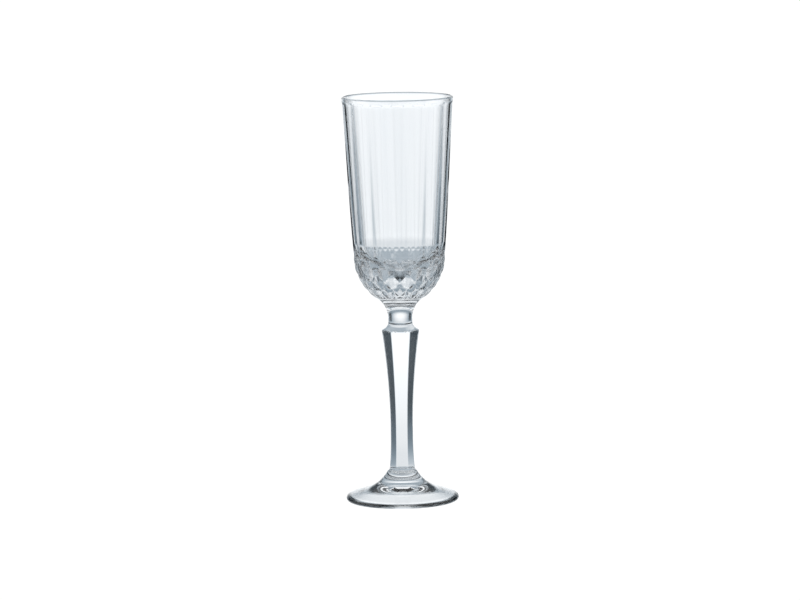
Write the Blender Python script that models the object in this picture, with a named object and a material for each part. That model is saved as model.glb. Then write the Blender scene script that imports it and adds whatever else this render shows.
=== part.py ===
"""Pressed-glass champagne flute: bowl, neck, six-sided stem and foot, welded end to end.

Metres, +Z up. The origin is the middle of the resting plane under the foot, and the glass's
front, the middle of one flute of the bowl and of one flat side of the stem, faces -Y.
"""
import bpy
import bmesh
from mathutils import Matrix
from math import acos, atan2, cos, pi, radians, sin, sqrt

# Driving dimensions
HEIGHT = 0.213
RIM_RADIUS = 0.0292
FOOT_RADIUS = 0.0296
WELD_GAP = 0.0003
SIDES = 6
FRONT = radians(-90)

# Heights of the three weld planes and of the bowl's main levels
FOOT_WELD_Z = 0.015
STEM_WELD_Z = 0.0906
BOWL_WELD_Z = 0.108
BELLY_Z = 0.1274
FLUTE_FOOT_Z = 0.1326
FLUTE_TOP_Z = 0.209

# Bowl, outside
BOWL_FOOT_RADIUS = 0.0137
BELLY_RADIUS = 0.0228
BELLY_DEPTH = 0.0243
FLUTES = 16
FLUTE_FOOT_RADIUS = 0.0243
FLUTE_TOP_RADIUS = 0.0291
FLUTE_SWELL = 0.82
FLUTE_DEPTH_FOOT = 0.0008
FLUTE_DEPTH_TOP = 0.00045
LIP_THICKNESS = 0.0017

# Bowl, inside
CAVITY_TOP_RADIUS = 0.0275
CAVITY_SHOULDER_Z = 0.136
CAVITY_SHOULDER_RADIUS = 0.0216
CAVITY_FLOOR_Z = 0.1185
CAVITY_FLATNESS = 2.4

# Diamond lattice round the belly: one diamond under each flute. Rows are angles on the belly's
# circle, from the ridges' feet downward.
FIRST_ROW = radians(-12)
ROW_PITCH = radians(12)
LATTICE_ROWS = 5
LATTICE_DEPTH = 0.0007

# Neck, stem and foot
NECK_RADIUS = 0.0063
NECK_UPPER_FILLET = 0.013
NECK_LOWER_FILLET = 0.0045
NECK_LOWER_RADIUS = 0.0093
SHOULDER_RADIUS = 0.0099
SHOULDER_DROP = 0.0007
STEM_WAIST_Z = 0.036
STEM_WAIST_RADIUS = 0.0059
STEM_FOOT_RADIUS = 0.0069
FOOT_THROAT_RADIUS = 0.008
FOOT_EDGE_HEIGHT = 0.0032
DOME_SLOPE = 0.525
DOME_POWER = 4.6
FOOT_BEAD_RADIUS = 0.0015
FOOT_RING_RADIUS = 0.0262
FOOT_DISH_DEPTH = 0.0060

# How finely surfaces are cut
STEPS_PER_FLUTE = 4
TURNED_STEPS = 60
STEM_STEPS = 48
FLUTE_RINGS = 8
STEM_RINGS = 14
ROUND_TO_SIX = (0.5, 0.85)
CREASE_ANGLE = 14


def clear_scene():
    for item in list(bpy.data.objects):
        bpy.data.objects.remove(item, do_unlink=True)


def glass(name, tint, roughness):
    material = bpy.data.materials.new(name)
    material.use_nodes = True
    shader = material.node_tree.nodes["Principled BSDF"]
    shader.inputs["Base Color"].default_value = (*tint, 1.0)
    shader.inputs["Metallic"].default_value = 0.0
    shader.inputs["Roughness"].default_value = roughness
    shader.inputs["IOR"].default_value = 1.52
    shader.inputs["Transmission Weight"].default_value = 1.0
    return material


def between(start, end, share):
    return start + (end - start) * share


def spaced(start, end, count):
    """count values from start to end, both included."""
    return [between(start, end, index / (count - 1)) for index in range(count)]


# ---------------------------------------------------------------- ring-by-ring modelling

def first_ring(mesh, steps, radius_at, height):
    """A closed ring of edges around Z, its first vertex on the front."""
    verts = bmesh.ops.create_circle(mesh, cap_ends=False, segments=steps, radius=1.0)["verts"]
    turn = FRONT - atan2(verts[0].co.y, verts[0].co.x)
    bmesh.ops.rotate(mesh, verts=verts, cent=(0, 0, 0), matrix=Matrix.Rotation(turn, 3, "Z"))
    shape_ring(verts, radius_at, height)
    return list(mesh.edges)


def ring_verts(edges):
    return list({vert for edge in edges for vert in edge.verts})


def shape_ring(verts, radius_at, height):
    """Put each vertex at its own angle, at the radius that the section has there."""
    for vert in verts:
        angle = atan2(vert.co.y, vert.co.x)
        radius = radius_at(angle - FRONT)
        vert.co = (radius * cos(angle), radius * sin(angle), height)


def extrude_ring(mesh, edges, radius_at, height):
    made = bmesh.ops.extrude_edge_only(mesh, edges=edges)["geom"]
    new_edges = [item for item in made if isinstance(item, bmesh.types.BMEdge) and item.is_boundary]
    shape_ring(ring_verts(new_edges), radius_at, height)
    return new_edges


def round_section(radius):
    return lambda angle: radius


def new_object(name, mesh, material):
    """Finish a closed mesh: faces out, triangles, smooth shading with crisp edges kept."""
    bmesh.ops.triangulate(mesh, faces=mesh.faces)
    bmesh.ops.recalc_face_normals(mesh, faces=mesh.faces)
    data = bpy.data.meshes.new(name)
    mesh.to_mesh(data)
    mesh.free()
    data.shade_smooth()
    data.set_sharp_from_angle(angle=radians(CREASE_ANGLE))
    data.materials.append(material)
    item = bpy.data.objects.new(name, data)
    bpy.context.scene.collection.objects.link(item)
    return item


def lofted(sections, steps):
    """A closed body from a list of (section, height) rings, with a flat cap at each end."""
    mesh = bmesh.new()
    edges = first_ring(mesh, steps, *sections[0])
    bmesh.ops.contextual_create(mesh, geom=edges)
    for section, height in sections[1:]:
        edges = extrude_ring(mesh, edges, section, height)
    bmesh.ops.contextual_create(mesh, geom=edges)
    return mesh


# ---------------------------------------------------------------- sections

def within_side(angle, sides=SIDES):
    """The angle from the middle of the nearest of the equal sides."""
    side = 2 * pi / sides
    return (angle + side / 2) % side - side / 2


def hexagon_section(corner_radius, rounding=0.015):
    """Six flat sides, with the corners taken off a little."""
    def radius_at(angle):
        flat = corner_radius * cos(pi / SIDES) / cos(within_side(angle))
        return min(flat, corner_radius * (1 - rounding))
    return radius_at


def blended_section(first, second, share):
    return lambda angle: between(first(angle), second(angle), share)


def fluted_section(radius, depth):
    """Sixteen nearly flat flutes that meet in crisp ridges of the full radius."""
    def radius_at(angle):
        across = within_side(angle, FLUTES) / (pi / FLUTES)
        return radius - depth * (1 - across ** 2)
    return radius_at


# ---------------------------------------------------------------- bowl

def lattice_height(row):
    return BELLY_Z - BELLY_DEPTH * sin(FIRST_ROW + ROW_PITCH * row)


def outline_radius(height):
    """The crests' outline: an egg-shaped belly, its shoulder, then the ridges' taper."""
    if height <= BELLY_Z:
        return BELLY_RADIUS * sqrt(1 - ((BELLY_Z - height) / BELLY_DEPTH) ** 2)
    if height <= FLUTE_FOOT_Z:
        share = (height - BELLY_Z) / (FLUTE_FOOT_Z - BELLY_Z)
        return between(BELLY_RADIUS, FLUTE_FOOT_RADIUS, share ** FLUTE_SWELL)
    share = (height - FLUTE_FOOT_Z) / (FLUTE_TOP_Z - FLUTE_FOOT_Z)
    return between(FLUTE_FOOT_RADIUS, FLUTE_TOP_RADIUS, share ** FLUTE_SWELL)


def lattice_section(row):
    """Crests and groove crossings by turns around the ring, swapped from row to row."""
    outline = outline_radius(lattice_height(row))

    def radius_at(angle):
        column = round(angle / (pi / FLUTES))
        return outline - LATTICE_DEPTH if (column + row) % 2 else outline
    return radius_at


def cavity_radius(height):
    """Straight taper down to the shoulder, then a rounded floor."""
    if height >= CAVITY_SHOULDER_Z:
        share = (height - CAVITY_SHOULDER_Z) / (HEIGHT - CAVITY_SHOULDER_Z)
        return between(CAVITY_SHOULDER_RADIUS, CAVITY_TOP_RADIUS, share)
    drop = (CAVITY_SHOULDER_Z - height) / (CAVITY_SHOULDER_Z - CAVITY_FLOOR_Z)
    return CAVITY_SHOULDER_RADIUS * sqrt(max(1 - drop ** CAVITY_FLATNESS, 0.0))


def cut_lattice(mesh, edges):
    """Rows of diamonds from the weld up to the flutes, split along the grooves."""
    crossings = []
    for row in range(LATTICE_ROWS, 0, -1):
        height = lattice_height(row)
        edges = extrude_ring(mesh, edges, lattice_section(row), height)
        for vert in ring_verts(edges):
            if vert.co.xy.length < outline_radius(height) - LATTICE_DEPTH / 2:
                crossings.append(vert)
    height = lattice_height(0)
    edges = extrude_ring(mesh, edges, round_section(outline_radius(height)), height)
    bmesh.ops.connect_verts(mesh, verts=crossings)
    return edges


def make_bowl(material):
    """A thick-based cup: lattice, flutes, plain lip, then the smooth cavity."""
    mesh = bmesh.new()
    bottom = BOWL_WELD_Z + WELD_GAP / 2
    edges = first_ring(mesh, 2 * FLUTES, round_section(BOWL_FOOT_RADIUS), bottom)
    bmesh.ops.contextual_create(mesh, geom=edges)
    edges = cut_lattice(mesh, edges)

    bmesh.ops.subdivide_edges(mesh, edges=edges, cuts=STEPS_PER_FLUTE // 2 - 1)
    edges = [edge for edge in mesh.edges if edge.is_boundary]
    lattice_top = lattice_height(0)
    shape_ring(ring_verts(edges), round_section(outline_radius(lattice_top)), lattice_top)

    for height in spaced(FLUTE_FOOT_Z, FLUTE_TOP_Z, FLUTE_RINGS):
        share = (height - FLUTE_FOOT_Z) / (FLUTE_TOP_Z - FLUTE_FOOT_Z)
        section = fluted_section(outline_radius(height), between(FLUTE_DEPTH_FOOT, FLUTE_DEPTH_TOP, share))
        edges = extrude_ring(mesh, edges, section, height)

    bead = LIP_THICKNESS / 2
    edges = extrude_ring(mesh, edges, round_section(FLUTE_TOP_RADIUS), FLUTE_TOP_Z + bead)
    for turn in spaced(0, pi, 7):
        radius = RIM_RADIUS - bead + bead * cos(turn)
        edges = extrude_ring(mesh, edges, round_section(radius), HEIGHT - bead + bead * sin(turn))

    for height in spaced(FLUTE_TOP_Z, CAVITY_SHOULDER_Z, 6):
        edges = extrude_ring(mesh, edges, round_section(cavity_radius(height)), height)
    drop = CAVITY_SHOULDER_Z - CAVITY_FLOOR_Z
    for turn in spaced(0, radians(84), 9)[1:]:
        height = CAVITY_SHOULDER_Z - drop * sin(turn)
        edges = extrude_ring(mesh, edges, round_section(cavity_radius(height)), height)
    floor = bmesh.ops.contextual_create(mesh, geom=edges)["faces"]
    bmesh.ops.poke(mesh, faces=floor)
    return new_object("bowl", mesh, material)


# ---------------------------------------------------------------- neck

def neck_profile():
    """(radius, height) from the stem weld up to the bowl weld: flare, waist, wide flare."""
    low_sweep = acos(1 - (NECK_LOWER_RADIUS - NECK_RADIUS) / NECK_LOWER_FILLET)
    high_sweep = acos(1 - (BOWL_FOOT_RADIUS - NECK_RADIUS) / NECK_UPPER_FILLET)
    bottom = STEM_WELD_Z + WELD_GAP / 2
    top = BOWL_WELD_Z - WELD_GAP / 2
    points = []
    for turn in spaced(low_sweep, 0, 6):
        radius = NECK_RADIUS + NECK_LOWER_FILLET * (1 - cos(turn))
        points.append((radius, bottom + NECK_LOWER_FILLET * (sin(low_sweep) - sin(turn))))
    for turn in spaced(0, high_sweep, 9):
        radius = NECK_RADIUS + NECK_UPPER_FILLET * (1 - cos(turn))
        points.append((radius, top - NECK_UPPER_FILLET * (sin(high_sweep) - sin(turn))))
    return points


def make_neck(material):
    sections = [(round_section(radius), height) for radius, height in neck_profile()]
    return new_object("neck", lofted(sections, STEM_STEPS), material)


# ---------------------------------------------------------------- stem

def stem_radius(height):
    """Corner radius: a slim waist, widening to the shoulder above and the foot below."""
    if height >= STEM_WAIST_Z:
        share = (height - STEM_WAIST_Z) / (STEM_WELD_Z - SHOULDER_DROP - STEM_WAIST_Z)
        return between(STEM_WAIST_RADIUS, SHOULDER_RADIUS, share ** 2)
    share = (STEM_WAIST_Z - height) / (STEM_WAIST_Z - FOOT_WELD_Z)
    return between(STEM_WAIST_RADIUS, STEM_FOOT_RADIUS, share ** 3)


def make_stem(material):
    """Six flat facets, round at both welds."""
    bottom = FOOT_WELD_Z + WELD_GAP / 2
    top = STEM_WELD_Z - WELD_GAP / 2
    facets_start = FOOT_WELD_Z + (STEM_WAIST_Z - FOOT_WELD_Z) / 5
    facets_end = STEM_WELD_Z - SHOULDER_DROP
    sections = [(round_section(FOOT_THROAT_RADIUS), bottom)]
    for share in ROUND_TO_SIX:
        height = between(bottom, facets_start, share)
        radius = stem_radius(height)
        section = blended_section(round_section(radius), hexagon_section(radius), share)
        sections.append((section, height))
    for height in spaced(facets_start, facets_end, STEM_RINGS):
        sections.append((hexagon_section(stem_radius(height)), height))
    sections.append((round_section(NECK_LOWER_RADIUS), top))
    return new_object("stem", lofted(sections, STEM_STEPS), material)


# ---------------------------------------------------------------- foot

def foot_profile():
    """(radius, height) from the middle of the dish, round the edge, to the stem weld."""
    points = []
    for share in spaced(0.08, 1, 6):
        points.append((FOOT_RING_RADIUS * share, FOOT_DISH_DEPTH * (1 - share ** 2)))
    bead_radius = FOOT_RADIUS - FOOT_BEAD_RADIUS
    for turn in spaced(radians(-90), radians(50), 7):
        radius = bead_radius + FOOT_BEAD_RADIUS * cos(turn)
        points.append((radius, FOOT_BEAD_RADIUS * (1 + sin(turn))))
    top = FOOT_WELD_Z - WELD_GAP / 2
    edge_radius = bead_radius - FOOT_BEAD_RADIUS / 2
    for share in spaced(0, 1, 9):
        radius = between(edge_radius, FOOT_THROAT_RADIUS, share)
        rise = DOME_SLOPE * share + (1 - DOME_SLOPE) * share ** DOME_POWER
        points.append((radius, between(FOOT_EDGE_HEIGHT, top, rise)))
    return points


def make_foot(material):
    sections = [(round_section(radius), height) for radius, height in foot_profile()]
    return new_object("foot", lofted(sections, TURNED_STEPS), material)


clear_scene()
make_bowl(glass("bowl_glass", (0.95, 0.97, 0.98), 0.02))
make_neck(glass("neck_glass", (0.94, 0.96, 0.97), 0.02))
make_stem(glass("stem_glass", (0.93, 0.96, 0.97), 0.02))
make_foot(glass("foot_glass", (0.93, 0.96, 0.97), 0.03))
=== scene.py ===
"""Champagne flute in clear pressed glass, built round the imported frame.

Four glass pieces, bowl, neck, stem and foot, take the place of the frame's plain solids. They
meet exactly at the weld planes, where their end faces are a clear weld with no surface of their
own, so light passes as through one piece of glass.
"""
from math import acos, cos, exp, log, pi, radians, sin, sqrt

import bpy
from mathutils import Matrix, Vector


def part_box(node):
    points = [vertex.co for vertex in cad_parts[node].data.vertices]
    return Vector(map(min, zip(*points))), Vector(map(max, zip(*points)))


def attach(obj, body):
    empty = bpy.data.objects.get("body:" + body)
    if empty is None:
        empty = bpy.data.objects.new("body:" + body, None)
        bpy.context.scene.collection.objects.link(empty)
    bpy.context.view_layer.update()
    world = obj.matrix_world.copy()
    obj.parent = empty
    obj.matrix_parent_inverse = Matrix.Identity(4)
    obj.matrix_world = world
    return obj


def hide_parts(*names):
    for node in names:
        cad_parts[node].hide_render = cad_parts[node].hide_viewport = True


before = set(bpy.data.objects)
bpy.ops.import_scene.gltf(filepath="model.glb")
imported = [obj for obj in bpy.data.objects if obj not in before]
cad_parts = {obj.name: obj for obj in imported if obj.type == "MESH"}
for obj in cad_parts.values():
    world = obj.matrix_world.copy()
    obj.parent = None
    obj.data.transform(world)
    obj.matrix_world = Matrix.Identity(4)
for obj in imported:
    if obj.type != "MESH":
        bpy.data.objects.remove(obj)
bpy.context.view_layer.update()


# ------------------------------------------------------------------ dimensions from the frame

def half_width(corners):
    return (corners[1].x - corners[0].x) / 2


FOOT_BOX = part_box("foot")
STEM_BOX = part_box("stem")
NECK_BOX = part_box("neck")
BOWL_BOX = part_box("bowl")
FOOT_WELD = (FOOT_BOX[1].z + STEM_BOX[0].z) / 2
STEM_WELD = (STEM_BOX[1].z + NECK_BOX[0].z) / 2
BOWL_WELD = (NECK_BOX[1].z + BOWL_BOX[0].z) / 2
RIM_TOP = BOWL_BOX[1].z
RIM_RADIUS = half_width(BOWL_BOX)
FOOT_RADIUS = half_width(FOOT_BOX)

MM = 0.001
FRONT = radians(-90)
SIDES = 6
TURN_STEPS = 384

# Bowl, outside
FLUTE_TOP = RIM_TOP - 2.0 * MM
FLUTE_FOOT = BOWL_WELD + 23 * MM
FLUTE_TOP_RADIUS = RIM_RADIUS
FLUTE_FOOT_RADIUS = RIM_RADIUS - 4.9 * MM
FLUTE_SWELL = 0.82
FLUTE_FADE = 2.0 * MM
RIDGE_ROUND = 0.2
FLUTES = 16
FLUTE_DEPTH_TOP = 0.45 * MM
FLUTE_DEPTH_FOOT = 0.8 * MM
LIP_THICKNESS = 1.7 * MM
BELLY_RADIUS = FLUTE_FOOT_RADIUS
BELLY_DEPTH = 27.6 * MM

# Bowl, inside
CAVITY_TOP_RADIUS = RIM_RADIUS - 1.4 * MM
CAVITY_SHOULDER = BOWL_WELD + 30 * MM
CAVITY_SHOULDER_RADIUS = 21.6 * MM
CAVITY_FLOOR = BOWL_WELD + 10.5 * MM
CAVITY_FLATNESS = 1.8
LIP_RUN_IN = 4 * MM

# Diamond lattice
DIAMONDS_AROUND = FLUTES
ROW_PITCH = radians(11)
FIRST_ROW = radians(-4)
ROW_COUNT = 5
LAST_ROW = 5.4
ROWS_TO_BLEND = 1.0
GROOVE_DEPTH = 0.7 * MM
CELL_STEPS = TURN_STEPS // (2 * DIAMONDS_AROUND)

# Neck
NECK_RADIUS = 6.3 * MM
NECK_UPPER_FILLET = 13 * MM
NECK_LOWER_FILLET = 4.5 * MM
NECK_FOOT_RADIUS = 9.3 * MM

# Stem
SHOULDER_DROP = 0.5 * MM
SHOULDER_CORNER = 9.9 * MM
WAIST_HEIGHT = 38 * MM
WAIST_CORNER = 5.9 * MM
STEM_FOOT_CORNER = 6.9 * MM
CORNER_SOFTNESS = 0.012
STEM_FLARE = 1.85
STEM_SPREAD = 3.0
FACET_RUN_OUT = 2.0 * MM

# Foot
THROAT_RADIUS = 8.0 * MM
EDGE_BEAD = 1.5 * MM
DISH_RADIUS = 26.2 * MM
DISH_DEPTH = 6.0 * MM
EDGE_HEIGHT = 3.2 * MM
DOME_SLOPE = 0.525
DOME_POWER = 4.6


# ------------------------------------------------------------------ small helpers

def between(start, end, share):
    return start + (end - start) * share


def eased(share):
    """0 to 1 with level ends."""
    share = min(max(share, 0.0), 1.0)
    return share * share * (3 - 2 * share)


def spaced(start, end, count):
    """count values from start to end, both included."""
    return [between(start, end, index / (count - 1)) for index in range(count)]


def within_side(angle, sides=SIDES):
    """The angle from the middle of the nearest of the equal sides."""
    side = 2 * pi / sides
    return (angle + side / 2) % side - side / 2


def round_section(radius):
    return lambda angle: radius


# ------------------------------------------------------------------ building a glass skin

def glass_skin(name, rings, weld_first=False, weld_last=False, crease=12, diagonal=None):
    """A closed mesh from rings of (section, height), each end closed by a fan to its middle.

    The ends marked as welds get the second material. diagonal(column, row) says which way a
    quad is split, for creases that run across the grid; without it the quads stay whole.
    """
    angles = [FRONT + 2 * pi * step / TURN_STEPS for step in range(TURN_STEPS)]
    verts = []
    for section, height in rings:
        for angle in angles:
            radius = section(angle - FRONT)
            verts.append((radius * cos(angle), radius * sin(angle), height))
    faces = []
    for row in range(len(rings) - 1):
        for column in range(TURN_STEPS):
            after = (column + 1) % TURN_STEPS
            low_left = row * TURN_STEPS + column
            low_right = row * TURN_STEPS + after
            high_left = low_left + TURN_STEPS
            high_right = low_right + TURN_STEPS
            way = diagonal(column, row) if diagonal else 0
            if way > 0:
                faces += [(low_left, low_right, high_right), (low_left, high_right, high_left)]
            elif way < 0:
                faces += [(low_left, low_right, high_left), (low_right, high_right, high_left)]
            else:
                faces.append((low_left, low_right, high_right, high_left))
    skin_faces = len(faces)
    for ring, flip in ((0, True), (len(rings) - 1, False)):
        verts.append((0.0, 0.0, rings[ring][1]))
        middle = len(verts) - 1
        for column in range(TURN_STEPS):
            here = ring * TURN_STEPS + column
            after = ring * TURN_STEPS + (column + 1) % TURN_STEPS
            faces.append((after, here, middle) if flip else (here, after, middle))
    mesh = bpy.data.meshes.new(name)
    mesh.from_pydata(verts, [], faces)
    mesh.shade_smooth()
    mesh.set_sharp_from_angle(angle=radians(crease))
    piece = bpy.data.objects.new(name, mesh)
    bpy.context.scene.collection.objects.link(piece)
    mesh.materials.append(None)
    mesh.materials.append(None)
    for index, polygon in enumerate(mesh.polygons):
        first_cap = skin_faces <= index < skin_faces + TURN_STEPS
        last_cap = index >= skin_faces + TURN_STEPS
        if (first_cap and weld_first) or (last_cap and weld_last):
            polygon.material_index = 1
            polygon.use_smooth = False
    return piece


# ------------------------------------------------------------------ bowl

def outline_radius(height):
    """The crests' outline: an egg-shaped belly, then the ridges' swelling taper."""
    if height <= FLUTE_FOOT:
        drop = (FLUTE_FOOT - height) / BELLY_DEPTH
        return BELLY_RADIUS * sqrt(max(1 - drop ** 2, 0.0))
    share = (height - FLUTE_FOOT) / (FLUTE_TOP - FLUTE_FOOT)
    return between(FLUTE_FOOT_RADIUS, FLUTE_TOP_RADIUS, min(share, 1.0) ** FLUTE_SWELL)


def flute_rise(across):
    """0 in the middle of a flute, rising to its edge, where the ridge is a little rounded."""
    start = 1 - RIDGE_ROUND
    past = max(abs(across) - start, 0.0)
    return (abs(across) - past) ** 2 + 2 * start * (past - past ** 2 / (2 * RIDGE_ROUND))


def fluted_section(height):
    """Sixteen nearly flat flutes with a fine ridge between each two, fading out at the lip."""
    share = (height - FLUTE_FOOT) / (FLUTE_TOP - FLUTE_FOOT)
    depth = between(FLUTE_DEPTH_FOOT, FLUTE_DEPTH_TOP, share)
    depth *= eased((FLUTE_TOP - height) / FLUTE_FADE)
    outline = outline_radius(height)

    def radius_at(angle):
        across = within_side(angle, FLUTES) / (pi / FLUTES)
        return outline - depth * (1 - flute_rise(across))
    return radius_at


def lattice_height(row):
    return FLUTE_FOOT - BELLY_DEPTH * sin(FIRST_ROW + ROW_PITCH * row)


def pillow(share):
    """Rounded over from the groove, at 0, to the crest, at 1."""
    return 1 - (1 - share) ** 2


def lattice_section(row):
    """Straight-sided grooves both ways. Whole rows hold crossings and crests by turns.

    The flutes run out over the first row.
    """
    height = lattice_height(row)
    outline = outline_radius(height)
    depth = GROOVE_DEPTH * eased((LAST_ROW - row) / (LAST_ROW - ROW_COUNT))
    flutes = fluted_section(height)
    share = eased(row / ROWS_TO_BLEND)

    def radius_at(angle):
        column = angle / (pi / DIAMONDS_AROUND)
        up_right = abs((column + row) % 2 - 1)
        up_left = abs((column - row) % 2 - 1)
        cut = outline - depth * (1 - pillow(up_right) * pillow(up_left))
        return between(flutes(angle), cut, share)
    return radius_at


def cavity_radius(height):
    if height >= CAVITY_SHOULDER:
        share = (height - CAVITY_SHOULDER) / (RIM_TOP - CAVITY_SHOULDER)
        return between(CAVITY_SHOULDER_RADIUS, CAVITY_TOP_RADIUS, share)
    drop = (CAVITY_SHOULDER - height) / (CAVITY_SHOULDER - CAVITY_FLOOR)
    return CAVITY_SHOULDER_RADIUS * sqrt(max(1 - drop ** CAVITY_FLATNESS, 0.0))


def lip_rings():
    """Up from the flutes round the rolled rim and back inside."""
    bead = LIP_THICKNESS / 2
    rings = []
    for height in spaced(FLUTE_TOP, RIM_TOP - bead, 10)[1:-1]:
        share = (height - FLUTE_TOP) / (RIM_TOP - bead - FLUTE_TOP)
        rings.append((round_section(between(FLUTE_TOP_RADIUS, RIM_RADIUS, eased(share))), height))
    for turn in spaced(0, pi, 13):
        radius = RIM_RADIUS - bead + bead * cos(turn)
        rings.append((round_section(radius), RIM_TOP - bead + bead * sin(turn)))
    return rings


def cavity_rings():
    """Down the inside: the lip's inner edge runs into the straight taper, then the floor."""
    rings = []
    start = RIM_TOP - LIP_THICKNESS / 2
    lip_inside = RIM_RADIUS - LIP_THICKNESS
    for height in spaced(start, CAVITY_SHOULDER, 60):
        share = eased((start - height) / LIP_RUN_IN)
        rings.append((round_section(between(lip_inside, cavity_radius(height), share)), height))
    drop = CAVITY_SHOULDER - CAVITY_FLOOR
    for turn in spaced(0, radians(89), 40)[1:]:
        height = CAVITY_SHOULDER - drop * sin(turn)
        rings.append((round_section(cavity_radius(height)), height))
    return rings


def make_bowl():
    bottom_radius = outline_radius(BOWL_WELD)
    rings = [(round_section(bottom_radius), BOWL_WELD)]
    for row in spaced(LAST_ROW, ROW_COUNT, 6)[:-1]:
        height = lattice_height(row)
        if height > BOWL_WELD + 0.05 * MM:
            rings.append((lattice_section(row), height))
    lattice_start = len(rings)
    for step in range(ROW_COUNT * CELL_STEPS + 1):
        row = ROW_COUNT - step / CELL_STEPS
        rings.append((lattice_section(row), lattice_height(row)))
    lattice_end = len(rings) - 1
    for height in spaced(lattice_height(0), FLUTE_TOP - FLUTE_FADE, 50)[1:]:
        rings.append((fluted_section(height), height))
    for height in spaced(FLUTE_TOP - FLUTE_FADE, FLUTE_TOP, 10)[1:]:
        rings.append((fluted_section(height), height))
    rings += lip_rings() + cavity_rings()

    def along_groove(column, row):
        if not lattice_start <= row < lattice_end:
            return 0
        cell_column, across = divmod(column, CELL_STEPS)
        cell_row, up = divmod(row - lattice_start, CELL_STEPS)
        if (cell_column + cell_row) % 2 == 0:
            return 1 if across == up else 0
        return -1 if across + up == CELL_STEPS - 1 else 0
    return glass_skin("bowl_glass", rings, weld_first=True, diagonal=along_groove)


# ------------------------------------------------------------------ neck

def make_neck():
    """Flare, waist and wide flare, all turned round."""
    low_sweep = acos(1 - (NECK_FOOT_RADIUS - NECK_RADIUS) / NECK_LOWER_FILLET)
    high_sweep = acos(1 - (outline_radius(BOWL_WELD) - NECK_RADIUS) / NECK_UPPER_FILLET)
    rings = []
    for turn in spaced(low_sweep, 0, 16):
        radius = NECK_RADIUS + NECK_LOWER_FILLET * (1 - cos(turn))
        rings.append((round_section(radius), STEM_WELD + NECK_LOWER_FILLET * (sin(low_sweep) - sin(turn))))
    for turn in spaced(0, high_sweep, 24):
        radius = NECK_RADIUS + NECK_UPPER_FILLET * (1 - cos(turn))
        rings.append((round_section(radius), BOWL_WELD - NECK_UPPER_FILLET * (sin(high_sweep) - sin(turn))))
    return glass_skin("neck_glass", rings, weld_first=True, weld_last=True, crease=30)


# ------------------------------------------------------------------ stem

def six_sided(corner_radius):
    """Flat sides that run into slightly softened corners."""
    limit = corner_radius * (1 - CORNER_SOFTNESS)
    softness = CORNER_SOFTNESS * corner_radius

    def radius_at(angle):
        flat = corner_radius * cos(pi / SIDES) / cos(within_side(angle))
        return -softness * log(exp(-flat / softness) + exp(-limit / softness)) + softness * log(2) / 2
    return radius_at


def blend(first, second, share):
    return lambda angle: between(first(angle), second(angle), share)


def stem_corner(height):
    """Corner radius: slim waist, wider to the shoulder above and the foot below."""
    if height >= WAIST_HEIGHT:
        share = (height - WAIST_HEIGHT) / (STEM_WELD - SHOULDER_DROP - WAIST_HEIGHT)
        return between(WAIST_CORNER, SHOULDER_CORNER, share ** STEM_FLARE)
    share = (WAIST_HEIGHT - height) / (WAIST_HEIGHT - FOOT_WELD)
    return between(WAIST_CORNER, STEM_FOOT_CORNER, share ** STEM_SPREAD)


def make_stem():
    facets_start = FOOT_WELD + FACET_RUN_OUT
    facets_end = STEM_WELD - SHOULDER_DROP
    rings = []
    for height in spaced(FOOT_WELD, facets_start, 12)[:-1]:
        share = eased((height - FOOT_WELD) / FACET_RUN_OUT)
        corner = stem_corner(height)
        around = round_section(between(THROAT_RADIUS, corner, share))
        rings.append((blend(around, six_sided(corner), share), height))
    for height in spaced(facets_start, facets_end, 70):
        rings.append((six_sided(stem_corner(height)), height))
    top = six_sided(stem_corner(facets_end))
    for share in spaced(0, 1, 8)[1:]:
        section = blend(top, round_section(NECK_FOOT_RADIUS), share)
        rings.append((section, facets_end + SHOULDER_DROP * share))
    return glass_skin("stem_glass", rings, weld_first=True, weld_last=True, crease=25)


# ------------------------------------------------------------------ foot

def foot_top(radius):
    """The domed upper face: steep at the throat, nearly flat out to the edge."""
    share = (FOOT_RADIUS - EDGE_BEAD - radius) / (FOOT_RADIUS - EDGE_BEAD - THROAT_RADIUS)
    share = max(share, 0.0)
    return between(EDGE_HEIGHT, FOOT_WELD, DOME_SLOPE * share + (1 - DOME_SLOPE) * share ** DOME_POWER)


def make_foot():
    rings = []
    for share in spaced(0.01, 1, 50):
        rings.append((round_section(DISH_RADIUS * share), DISH_DEPTH * (1 - share ** 2)))
    bead = FOOT_RADIUS - EDGE_BEAD
    for turn in spaced(radians(-90), radians(60), 20):
        rings.append((round_section(bead + EDGE_BEAD * cos(turn)), EDGE_BEAD * (1 + sin(turn))))
    for radius in spaced(bead, THROAT_RADIUS, 70)[2:]:
        rings.append((round_section(radius), foot_top(radius)))
    return glass_skin("foot_glass", rings, weld_last=True, crease=30)


# ------------------------------------------------------------------ materials

GLASS_INDEX = 1.52
GLASS_TINT = (0.983, 0.986, 0.989)
TINT_VARIATION = (0.985, 0.99, 0.995)
MOULD_RIPPLE = 0.02 * MM

# Two heights, and the extra roughness at each; the stem has none
BELLY_SOFTNESS = (lattice_height(1), lattice_height(0), 0.12, 0.0)
NECK_SOFTNESS = (BOWL_WELD - 5 * MM, BOWL_WELD, 0.0, 0.06)
STEM_SOFTNESS = (FOOT_WELD, STEM_WELD, 0.0, 0.0)
FOOT_SOFTNESS = (0.0, 12 * MM, 0.09, 0.0)


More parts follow.
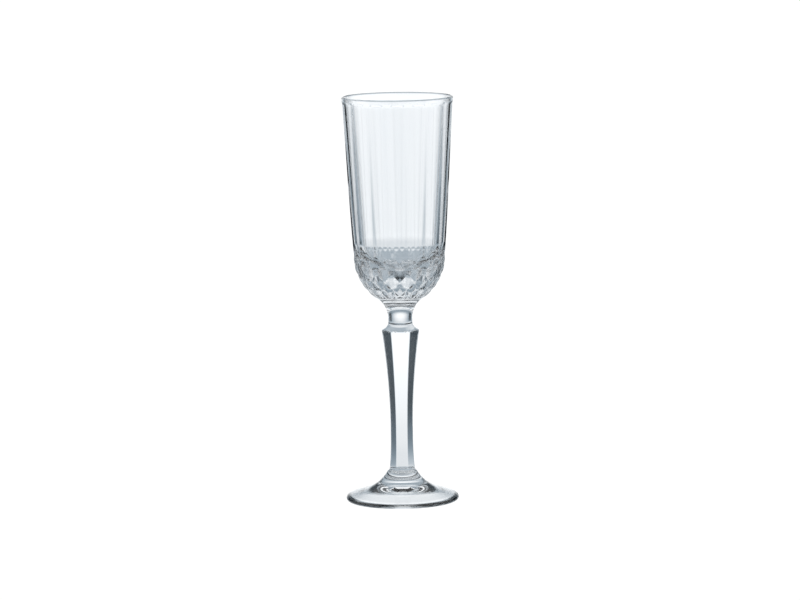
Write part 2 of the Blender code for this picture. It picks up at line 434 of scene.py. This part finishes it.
class Nodes:
    """Short calls for one node tree."""

    def __init__(self, tree):
        self.tree = tree
        tree.nodes.clear()

    def add(self, kind, inputs=None, **settings):
        node = self.tree.nodes.new(kind)
        for name, value in settings.items():
            setattr(node, name, value)
        for name, value in (inputs or {}).items():
            if isinstance(value, bpy.types.NodeSocket):
                self.tree.links.new(value, node.inputs[name])
            else:
                node.inputs[name].default_value = value
        return node

    def math(self, operation, *values):
        node = self.add("ShaderNodeMath", dict(enumerate(values)), operation=operation)
        return node.outputs[0]

    def ramp(self, value, start, end, low=0.0, high=1.0, smooth=True):
        inputs = {"Value": value, "From Min": start, "From Max": end, "To Min": low, "To Max": high}
        kind = "SMOOTHSTEP" if smooth else "LINEAR"
        return self.add("ShaderNodeMapRange", inputs, interpolation_type=kind).outputs["Result"]


def glass_material(name, ripple_scale, ripple_stretch, softened):
    """Clear pressed glass: mould ripple in the surface, faint polish haze, a breath of colour.

    softened is two heights and the extra roughness at each. It is for the look only: it blurs
    what is seen through the pattern, and says nothing about the real surface.
    """
    material = bpy.data.materials.new(name)
    material.use_nodes = True
    nodes = Nodes(material.node_tree)
    place = nodes.add("ShaderNodeTexCoord").outputs["Object"]
    stretched = nodes.add("ShaderNodeMapping", {"Vector": place, "Scale": ripple_stretch}).outputs[0]
    waves = nodes.add("ShaderNodeTexNoise", {"Vector": stretched, "Scale": ripple_scale, "Detail": 2.0})
    ripple = {"Height": waves.outputs["Fac"], "Strength": 1.0, "Distance": MOULD_RIPPLE}
    bump = nodes.add("ShaderNodeBump", ripple)
    haze = nodes.add("ShaderNodeTexNoise", {"Vector": place, "Scale": 260.0, "Detail": 3.0})
    polish = nodes.ramp(haze.outputs["Fac"], 0.35, 0.75, 0.0, 0.025)
    height = nodes.add("ShaderNodeSeparateXYZ", {"Vector": place}).outputs[2]
    softness = nodes.ramp(height, *softened)
    roughness = nodes.math("ADD", polish, softness)
    shade = nodes.add("ShaderNodeTexNoise", {"Vector": place, "Scale": 90.0, "Detail": 1.0})
    deep = [part * fade for part, fade in zip(GLASS_TINT, TINT_VARIATION)]
    mixed = {"Factor": shade.outputs["Fac"], 6: (*GLASS_TINT, 1.0), 7: (*deep, 1.0)}
    colour = nodes.add("ShaderNodeMix", mixed, data_type="RGBA")
    shader = nodes.add("ShaderNodeBsdfPrincipled", {
        "Base Color": colour.outputs[2], "Roughness": roughness, "Normal": bump.outputs[0],
        "IOR": GLASS_INDEX, "Transmission Weight": 1.0})
    nodes.add("ShaderNodeOutputMaterial", {"Surface": shader.outputs[0]})
    return material


def weld_material():
    """Inside a weld the glass runs on, so its end faces let everything through."""
    material = bpy.data.materials.new("clear_weld")
    material.use_nodes = True
    nodes = Nodes(material.node_tree)
    clear = nodes.add("ShaderNodeBsdfTransparent", {"Color": (1.0, 1.0, 1.0, 1.0)})
    nodes.add("ShaderNodeOutputMaterial", {"Surface": clear.outputs[0]})
    return material


def dress(piece, node, material, weld):
    piece.data.materials[0] = material
    piece.data.materials[1] = weld
    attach(piece, "root")
    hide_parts(node)


weld = weld_material()
dress(make_bowl(), "bowl", glass_material("bowl_crystal", 120.0, (1, 1, 0.12), BELLY_SOFTNESS), weld)
dress(make_neck(), "neck", glass_material("neck_crystal", 200.0, (1, 1, 0.6), NECK_SOFTNESS), weld)
dress(make_stem(), "stem", glass_material("stem_crystal", 150.0, (1, 1, 0.2), STEM_SOFTNESS), weld)
dress(make_foot(), "foot", glass_material("foot_crystal", 120.0, (1, 1, 1), FOOT_SOFTNESS), weld)


# ------------------------------------------------------------------ studio

FLOOR_SIZE = 30.0
WHITE = 1.05
CLEAR_OF_FOOT = 0.2 * MM

# Each soft box: middle and half width round from straight behind the glass, lowest and highest
# elevation (degrees). The first is behind the glass from the front, the two at 95 from the
# sides, the last two from the three-quarter views. Other directions have no box of their own.
SOFT_BOXES = (
    (0, 33, -22, 14),
    (-95, 38, -14, 60),
    (95, 38, -14, 60),
    (145, 33, -30, 60),
    (-45, 33, -45, -16),
)
GLOW = 55.0
BOX_SIDE_EDGE = 3.0
BOX_TOP_EDGE = 10.0
DARKEST = 0.045

# Two angles (degrees) and the brightness at each: by elevation, and for the back by azimuth
OVERHEAD = (22.0, 42.0, 0.0, 0.72)
BOX_LEVEL = (-12.0, -3.0, 0.85, 1.14)
SCREEN_LOW = (-21.0, -5.0, 0.5, DARKEST)
SCREEN_HIGH = (8.0, 26.0, DARKEST, 0.38)
SCREEN_BACK = (100.0, 130.0, DARKEST, 0.5)

# Share of red and of green beside blue, in the dark and in full light
RED_SHARE = (0.6, 0.955)
GREEN_SHARE = (0.82, 0.98)


def studio_world():
    """Pale soft boxes behind the glass for each side it is seen from, with dark screens between."""
    world = bpy.data.worlds.new("studio")
    bpy.context.scene.world = world
    world.use_nodes = True
    nodes = Nodes(world.node_tree)
    split = nodes.add("ShaderNodeSeparateXYZ", {0: nodes.add("ShaderNodeTexCoord").outputs["Generated"]})
    elevation = nodes.math("DEGREES", nodes.math("ARCSINE", split.outputs[2]))
    azimuth = nodes.math("DEGREES", nodes.math("ARCTAN2", split.outputs[0], split.outputs[1]))
    lit = None
    for centre, half, lowest, highest in SOFT_BOXES:
        turn = nodes.math("WRAP", nodes.math("SUBTRACT", azimuth, centre), 180.0, -180.0)
        off = nodes.math("ABSOLUTE", turn)
        across = nodes.math("RADIANS", nodes.math("MULTIPLY", off, GLOW / half))
        glow = nodes.math("POWER", nodes.math("COSINE", across), 2.0)
        inside = nodes.ramp(off, half + BOX_SIDE_EDGE, float(half))
        above = nodes.ramp(elevation, lowest - 2.0, lowest + 1.0)
        below = nodes.ramp(elevation, highest + BOX_TOP_EDGE, highest - BOX_TOP_EDGE)
        sideways = nodes.math("MULTIPLY", glow, inside)
        share = nodes.math("MULTIPLY", sideways, nodes.math("MULTIPLY", above, below))
        lit = share if lit is None else nodes.math("MAXIMUM", lit, share)
    overhead = nodes.ramp(elevation, *OVERHEAD)
    lit = nodes.math("MAXIMUM", lit, overhead)
    level = nodes.ramp(elevation, *BOX_LEVEL, smooth=False)
    fill = nodes.ramp(nodes.math("ABSOLUTE", azimuth), *SCREEN_BACK)
    fill = nodes.math("MAXIMUM", fill, nodes.ramp(elevation, *SCREEN_HIGH))
    screens = nodes.math("MAXIMUM", fill, nodes.ramp(elevation, *SCREEN_LOW))
    dark = nodes.math("MULTIPLY", screens, nodes.math("SUBTRACT", 1.0, lit))
    value = nodes.math("ADD", nodes.math("MULTIPLY", level, lit), dark)
    red = nodes.math("MULTIPLY", value, nodes.ramp(value, 0.0, 1.0, *RED_SHARE))
    green = nodes.math("MULTIPLY", value, nodes.ramp(value, 0.0, 1.0, *GREEN_SHARE))
    colour = nodes.add("ShaderNodeCombineColor", {0: red, 1: green, 2: value})
    background = nodes.add("ShaderNodeBackground", {"Color": colour.outputs[0]})
    nodes.add("ShaderNodeOutputWorld", {"Surface": background.outputs[0]})


def studio_floor():
    """A plain white sheet that only the camera sees; the glass is lit by the soft boxes."""
    half = FLOOR_SIZE / 2
    mesh = bpy.data.meshes.new("floor")
    corners = [(-half, -half, 0), (half, -half, 0), (half, half, 0), (-half, half, 0)]
    mesh.from_pydata(corners, [], [(0, 1, 2, 3)])
    floor = bpy.data.objects.new("floor", mesh)
    floor.location.z = -CLEAR_OF_FOOT
    bpy.context.scene.collection.objects.link(floor)
    material = bpy.data.materials.new("white_sheet")
    material.use_nodes = True
    nodes = Nodes(material.node_tree)
    light = nodes.add("ShaderNodeEmission", {"Color": (1.0, 1.0, 1.0, 1.0), "Strength": WHITE})
    nodes.add("ShaderNodeOutputMaterial", {"Surface": light.outputs[0]})
    mesh.materials.append(material)
    floor.visible_transmission = False
    floor.visible_glossy = False
    floor.visible_diffuse = False
    floor.visible_shadow = False


# ------------------------------------------------------------------ camera

CAMERA_BACK = 2.07
CAMERA_HEIGHT = 0.378
AIM_HEIGHT = 0.106
LENS = 179.3
ROLL = radians(-0.8)


def make_camera():
    data = bpy.data.cameras.new("camera")
    data.lens = LENS
    data.sensor_width = 36.0
    data.clip_end = 50.0
    camera = bpy.data.objects.new("camera", data)
    bpy.context.scene.collection.objects.link(camera)
    place = Vector((0, -CAMERA_BACK, CAMERA_HEIGHT))
    look = (Vector((0, 0, AIM_HEIGHT)) - place).to_track_quat("-Z", "Y").to_matrix().to_4x4()
    camera.matrix_world = Matrix.Translation(place) @ look @ Matrix.Rotation(ROLL, 4, "Z")
    bpy.context.scene.camera = camera


studio_world()
studio_floor()
make_camera()

scene = bpy.context.scene
scene.view_settings.view_transform = "Standard"
scene.cycles.max_bounces = 24
scene.cycles.transmission_bounces = 24
scene.cycles.transparent_max_bounces = 32
